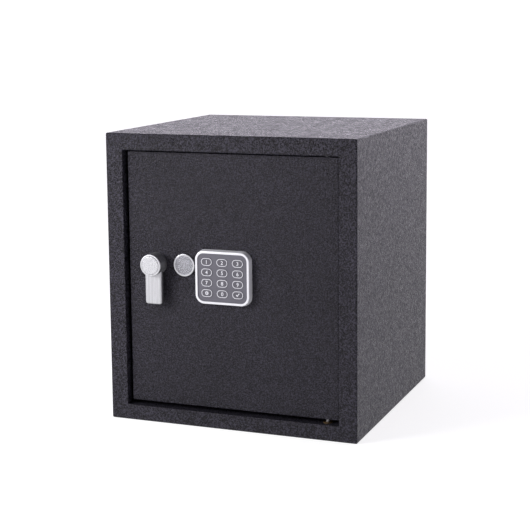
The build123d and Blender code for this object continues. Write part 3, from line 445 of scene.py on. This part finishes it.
def ring_band(bm, outer, inner, at, y_back, y_front):
    """Raised flat band between two outlines of equal point count, facing the front."""
    rows = []
    for outline, y in ((outer, y_back), (outer, y_front), (inner, y_front), (inner, y_back)):
        rows.append([bm.verts.new((at.x + x, y, at.z + z)) for x, z in outline])
    count = len(outer)
    for a, b in zip(rows, rows[1:] + rows[:1]):
        for i in range(count):
            j = (i + 1) % count
            bm.faces.new((a[i], a[j], b[j], b[i]))


def solid_outline(bm, outline, at, y_back, y_front):
    """Closed thin plate with a given outline."""
    back = [bm.verts.new((at.x + x, y_back, at.z + z)) for x, z in outline]
    front = [bm.verts.new((at.x + x, y_front, at.z + z)) for x, z in outline]
    bm.faces.new(front)
    bm.faces.new(list(reversed(back)))
    for i in range(len(outline)):
        j = (i + 1) % len(outline)
        bm.faces.new((back[i], back[j], front[j], front[i]))


PRINT_T = 0.07 * MM
PRINT_SINK = 0.02 * MM
KEY_FLANGE = 0.8 * MM
KEY_MARGIN = 0.25 * MM
KEY_LINE = 0.75 * MM
PILL_FLAT = 0.15 * MM
DIGIT_H = 4.9 * MM
CAPITAL_SHARE = 0.72
DIGIT_BOLD = 0.08 * MM
TICK = ((-2.5, 0.1), (-1.6, 0.9), (-0.7, -0.6), (1.9, 2.7), (2.7, 2.1), (-0.7, -2.4))
COG_TEETH = 8
COG_STEPS = 64
COG_R = (1.0 * MM, 1.95 * MM, 2.45 * MM)


def build_outline(node):
    """Printed rim around a key."""
    low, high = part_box(node)
    half_w = (high.x - low.x) / 2 - KEY_FLANGE - KEY_MARGIN
    half_h = (high.z - low.z) / 2 - KEY_FLANGE - KEY_MARGIN

    def build(bm):
        outer = pill(half_w, half_h)
        inner = pill(half_w - KEY_LINE, half_h - KEY_LINE)
        ring_band(bm, outer, inner, centre(node), low.y + PRINT_SINK, low.y - PRINT_T)
    return build


def digit_mesh(bm, text, at, y_front):
    """A digit as a thin raised solid on the key face."""
    curve = bpy.data.curves.new("digit", "FONT")
    curve.body = text
    curve.size = DIGIT_H / CAPITAL_SHARE
    curve.align_x = "CENTER"
    curve.extrude = 1.0
    curve.resolution_u = 4
    curve.offset = DIGIT_BOLD
    holder = bpy.data.objects.new("digit", curve)
    bpy.context.collection.objects.link(holder)
    bpy.context.view_layer.update()
    shape = bpy.data.meshes.new_from_object(holder.evaluated_get(
        bpy.context.evaluated_depsgraph_get()))
    bpy.data.objects.remove(holder)
    high = max(v.co.y for v in shape.vertices)
    low = min(v.co.y for v in shape.vertices)
    left = min(v.co.x for v in shape.vertices)
    right = max(v.co.x for v in shape.vertices)
    for v in shape.vertices:
        y = y_front if v.co.z > 0 else y_front + PRINT_T + PRINT_SINK
        v.co = Vector((at.x + v.co.x - (left + right) / 2, y, at.z + v.co.y - (low + high) / 2))
    bm.from_mesh(shape)
    bmesh.ops.remove_doubles(bm, verts=bm.verts, dist=1e-7)


def build_digit(node, text):
    def build(bm):
        digit_mesh(bm, text, centre(node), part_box(node)[0].y - PRINT_T)
    return build


def build_tick(node):
    """Check mark of the enter key."""
    def build(bm):
        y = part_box(node)[0].y
        outline = [(x * MM, z * MM) for x, z in TICK]
        solid_outline(bm, outline, centre(node), y + PRINT_SINK, y - PRINT_T)
    return build


def build_cog(node):
    """Small toothed ring of the programming key."""
    def build(bm):
        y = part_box(node)[0].y
        bore, root, tip = COG_R
        outer, inner = [], []
        for step in range(COG_STEPS):
            angle = 2 * math.pi * step / COG_STEPS
            radius = tip if math.cos(COG_TEETH * angle) > -0.1 else root
            outer.append((radius * math.cos(angle), radius * math.sin(angle)))
            inner.append((bore * math.cos(angle), bore * math.sin(angle)))
        ring_band(bm, outer, inner, centre(node), y + PRINT_SINK, y - PRINT_T)
    return build


def add_key_prints():
    ink = printed_ink()
    for key in KEYS:
        node, body = f"key_{key}", f"pad_key_{key}"
        new_piece(f"outline_{key}", build_outline(node), ink, body)
        if key == "enter":
            legend = build_tick(node)
        elif key == "program":
            legend = build_cog(node)
        else:
            legend = build_digit(node, key)
        new_piece(f"legend_{key}", legend, ink, body)


COVER_RIM = 2.15 * MM
COVER_SUNK = 0.18 * MM
COVER_BACK = 0.32 * MM
COVER_DOME = 0.1 * MM
COVER_RINGS = 6
COVER_STEPS = 72


def add_cover_face():
    """Stippled disc in the sunk face of the keyhole cover."""
    low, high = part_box("keyhole_cover")
    at = centre("keyhole_cover")
    radius = (high.x - low.x) / 2 - COVER_RIM
    front = low.y + COVER_SUNK

    def build(bm):
        rows = []
        turns = [2 * math.pi * step / COVER_STEPS for step in range(COVER_STEPS)]
        for ring in range(1, COVER_RINGS + 1):
            share = ring / COVER_RINGS
            y = front - COVER_DOME * (1 - share ** 2)
            rows.append([bm.verts.new((at.x + radius * share * math.cos(turn), y,
                                       at.z + radius * share * math.sin(turn)))
                         for turn in turns])
        rim = [bm.verts.new((v.co.x, low.y + COVER_BACK, v.co.z)) for v in rows[-1]]
        rows.append(rim)
        for a, b in zip(rows, rows[1:]):
            for i in range(COVER_STEPS):
                j = (i + 1) % COVER_STEPS
                bm.faces.new((a[i], a[j], b[j], b[i]))
        bm.faces.new(rows[0])
        bm.faces.new(list(reversed(rim)))
    new_piece("cover_face", build, stippled_metal(), "keyhole_cap", math.radians(35))


MAT_HOLE_R = 9.0 * MM
MAT_HOLE_REACH = 4.0 * MM
MAT_GRID = (66, 60)
MAT_UNEVEN = 0.3 * MM
MAT_CLEARANCE = 0.05 * MM


def add_floor_mat():
    """Felt mat: a thin sheet, slightly uneven, with soft cut edges."""
    low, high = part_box("floor_mat")
    fixing = next(m for m in frame["record"]["mounts"] if m["name"] == "base_fixing")
    half_x = fixing["dims"]["spacing_x_mm"] * MM / 2
    half_y = fixing["dims"]["spacing_y_mm"] * MM / 2
    holes = [(x, y) for x in (-half_x, half_x) for y in (-half_y, half_y)]
    width, depth = high.x - low.x, high.y - low.y

    def build(bm):
        nx, ny = MAT_GRID
        grid = [[bm.verts.new((low.x + width * i / nx, low.y + depth * j / ny, low.z))
                 for i in range(nx + 1)] for j in range(ny + 1)]
        for j in range(ny):
            for i in range(nx):
                bm.faces.new((grid[j][i], grid[j][i + 1], grid[j + 1][i + 1], grid[j + 1][i]))
        for x, y in holes:
            near = [f for f in bm.faces
                    if math.hypot(f.calc_center_median().x - x,
                                  f.calc_center_median().y - y) < MAT_HOLE_R]
            bmesh.ops.delete(bm, geom=near, context="FACES")
        for v in bm.verts:
            for x, y in holes:
                away = math.hypot(v.co.x - x, v.co.y - y)
                if away < MAT_HOLE_R + MAT_HOLE_REACH:
                    share = MAT_HOLE_R / away if v.is_boundary else 1.0
                    v.co.x, v.co.y = x + (v.co.x - x) * share, y + (v.co.y - y) * share
    mat = new_piece("felt_mat", build, felt(), "cabinet")
    solidify = mat.modifiers.new("thickness", "SOLIDIFY")
    solidify.thickness = high.z - low.z - MAT_UNEVEN - MAT_CLEARANCE
    solidify.offset = 1.0
    rough = bpy.data.textures.new("felt_unevenness", "CLOUDS")
    rough.noise_scale = 0.02
    uneven = mat.modifiers.new("unevenness", "DISPLACE")
    uneven.texture = rough
    uneven.texture_coords = "GLOBAL"
    uneven.direction = "Z"
    uneven.mid_level = 0.0
    uneven.strength = MAT_UNEVEN
    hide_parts("floor_mat")


# ---------------------------------------------------------------- studio


def add_floor():
    bpy.ops.mesh.primitive_plane_add(size=16, location=(0, 0, -0.0004))
    floor = bpy.context.object
    floor.name = "studio_floor"
    floor.data.materials.append(pale_floor())


AMBIENT = 0.36
LOBES = (
    ((0.0, 1.0, 0.1), 0.3, 0.96, 1.85),
    ((-1.0, -0.3, 0.0), 0.2, 0.9, 0.5),
    ((1.0, 0.6, -0.15), 0.3, 0.95, 1.5),
    ((0.0, 0.1, 1.0), 0.2, 0.9, -0.4),
)
AIR = (1.0, 0.948, 1.065)
BACKDROP = 1.15


def lobe(tree, place, direction, low, high, weight):
    """Share of light from around one direction."""
    dot = tree.nodes.new("ShaderNodeVectorMath")
    dot.operation = "DOT_PRODUCT"
    dot.inputs[1].default_value = Vector(direction).normalized()
    tree.links.new(place, dot.inputs[0])
    fade = tree.nodes.new("ShaderNodeMapRange")
    fade.interpolation_type = "SMOOTHSTEP"
    for key, value in (("From Min", low), ("From Max", high), ("To Max", weight)):
        fade.inputs[key].default_value = value
    tree.links.new(dot.outputs["Value"], fade.inputs["Value"])
    return fade.outputs["Result"]


def add_world():
    """Pale studio: bright behind and to the left, dimmer above and to the right."""
    world = bpy.data.worlds.new("studio")
    bpy.context.scene.world = world
    world.use_nodes = True
    tree = world.node_tree
    back = tree.nodes["Background"]
    back.inputs["Color"].default_value = rgba(AIR)
    place = tree.nodes.new("ShaderNodeTexCoord").outputs["Generated"]
    total = tree.nodes.new("ShaderNodeMath")
    total.inputs[0].default_value = AMBIENT
    total.inputs[1].default_value = 0.0
    for values in LOBES:
        add = tree.nodes.new("ShaderNodeMath")
        tree.links.new(total.outputs[0], add.inputs[0])
        tree.links.new(lobe(tree, place, *values), add.inputs[1])
        total = add
    seen = tree.nodes.new("ShaderNodeMix")
    tree.links.new(tree.nodes.new("ShaderNodeLightPath").outputs["Is Camera Ray"],
                   seen.inputs[0])
    tree.links.new(total.outputs[0], seen.inputs[2])
    seen.inputs[3].default_value = BACKDROP
    tree.links.new(seen.outputs[0], back.inputs["Strength"])


SOFTBOX = {"at": (-1.05, -1.1, 0.8), "aim": (-0.1, -0.17, 0.3), "size": (0.8, 0.8), "watts": 29.0}


def add_softbox():
    """Large soft light close on the left."""
    light = bpy.data.lights.new("softbox", "AREA")
    light.shape = "RECTANGLE"
    light.size, light.size_y = SOFTBOX["size"]
    light.energy = SOFTBOX["watts"]
    holder = bpy.data.objects.new("softbox", light)
    bpy.context.collection.objects.link(holder)
    place, aim = Vector(SOFTBOX["at"]), Vector(SOFTBOX["aim"])
    holder.location = place
    holder.rotation_euler = (aim - place).to_track_quat("-Z", "Y").to_euler()


def add_camera():
    """Camera at the product-shot angle: from the right and a little above."""
    azimuth, elevation, roll = math.radians(21.53), math.radians(8.0), math.radians(-0.54)
    target = Vector((-0.015, 0.0, 0.277))
    away = Vector((math.sin(azimuth) * math.cos(elevation),
                   -math.cos(azimuth) * math.cos(elevation), math.sin(elevation)))
    place = target + 1.89 * away
    side = Vector((math.cos(azimuth), math.sin(azimuth), 0.0))
    up = away.cross(side)
    right = side * math.cos(roll) + up * math.sin(roll)
    top = up * math.cos(roll) - side * math.sin(roll)
    data = bpy.data.cameras.new("camera")
    data.sensor_width = 36.0
    data.lens = 90.88
    data.shift_y = -0.1132
    data.clip_end = 50.0
    camera = bpy.data.objects.new("camera", data)
    bpy.context.collection.objects.link(camera)
    turn = Matrix((right, top, away)).transposed().to_4x4()
    camera.matrix_world = Matrix.Translation(place) @ turn
    bpy.context.scene.camera = camera


paint_cad()
add_key_prints()
add_cover_face()
add_floor_mat()
add_floor()
add_world()
add_softbox()
add_camera()
bpy.context.scene.view_settings.view_transform = "Standard"
